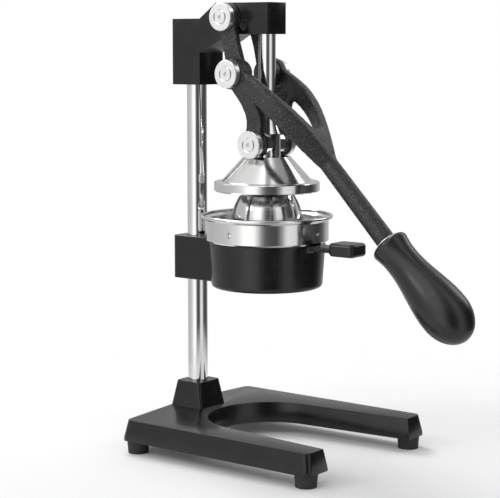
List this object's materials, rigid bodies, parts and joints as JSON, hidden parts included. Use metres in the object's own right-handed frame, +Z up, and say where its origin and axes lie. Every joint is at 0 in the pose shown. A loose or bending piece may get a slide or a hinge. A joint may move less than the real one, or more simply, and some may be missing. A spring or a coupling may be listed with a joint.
{
  "type": "citrus press juicer",
  "caption": "Lever citrus press with a cast U-shaped base, one round column, toggle-linked press bell, and a ring with a stainless juice cup.",
  "frame": {"origin": "on the table, in the middle of the footprint; the ram axis stands 53.5 mm behind it", "axes": "+Z up, +X to the front (open end of the base, where the lever points), +Y to the left"},
  "size_m": [0.3071, 0.182, 0.3956],
  "materials": {
    "black_casting": "textured powder coat",
    "polished_steel": "polished",
    "brushed_steel": "satin",
    "cap_aluminium": "satin",
    "black_grip": "smooth satin",
    "foot_rubber": "matte",
    "bush_brass": "machined",
    "black_screw": "black oxide",
    "washer_nylon": "matte"
  },
  "bodies": {
    "frame": {"base_casting": "black_casting", "rubber_feet": "foot_rubber", "foot_screws": "brushed_steel", "column": "polished_steel", "column_bolt": "brushed_steel", "column_washer": "brushed_steel", "socket_screw": "black_screw", "head_casting": "black_casting", "head_screws": "black_screw", "guide_bush": "bush_brass", "upper_pin": "brushed_steel", "upper_washers": "washer_nylon", "upper_caps": "cap_aluminium", "upper_cap_screws": "cap_aluminium", "ring_holder": "black_casting", "ring_screw": "black_screw", "ring_handle_pad": "black_grip"},
    "links": {"link_left": "black_casting", "link_right": "black_casting", "middle_pins": "brushed_steel", "middle_washers": "washer_nylon", "middle_caps": "cap_aluminium", "middle_cap_screws": "cap_aluminium"},
    "lever": {"lever_casting": "black_casting", "lever_ferrule": "cap_aluminium", "grip_stud": "brushed_steel", "lever_grip": "black_grip"},
    "plunger": {"plunger_rod": "polished_steel", "lower_pin": "brushed_steel", "lower_washers": "washer_nylon", "lower_caps": "cap_aluminium", "lower_cap_screws": "cap_aluminium", "press_bell": "brushed_steel", "bell_screw": "brushed_steel"},
    "cup": {"juice_cup": "brushed_steel"},
    "strainer_set": {"strainer": "brushed_steel", "reamer": "brushed_steel"}
  },
  "joints": [
    {"name": "link_swing", "type": "hinge", "parent": "frame", "child": "links", "pos_m": [-0.0817, 0, 0.3831], "axis": [0, 1, 0], "range_deg": [0, 52]},
    {"name": "lever_elbow", "type": "hinge", "parent": "links", "child": "lever", "pos_m": [-0.069, 0, 0.33433], "axis": [0, -1, 0], "range_deg": [0, 101.14]},
    {"name": "plunger_pivot", "type": "hinge", "parent": "lever", "child": "plunger", "pos_m": [-0.0535, 0, 0.27347], "axis": [0, 1, 0], "range_deg": [0, 49.14]},
    {"name": "cup_lift", "type": "slide", "parent": "frame", "child": "cup", "axis": [0, 0, 1], "range_m": [0, 0.0035]},
    {"name": "strainer_lift", "type": "slide", "parent": "cup", "child": "strainer_set", "axis": [0, 0, 1], "range_m": [0, 0.0035]}
  ],
  "couplings": [
    {"joint": "lever_elbow", "follows": "link_swing", "ratio": 1.945},
    {"joint": "plunger_pivot", "follows": "link_swing", "ratio": 0.945}
  ]
}
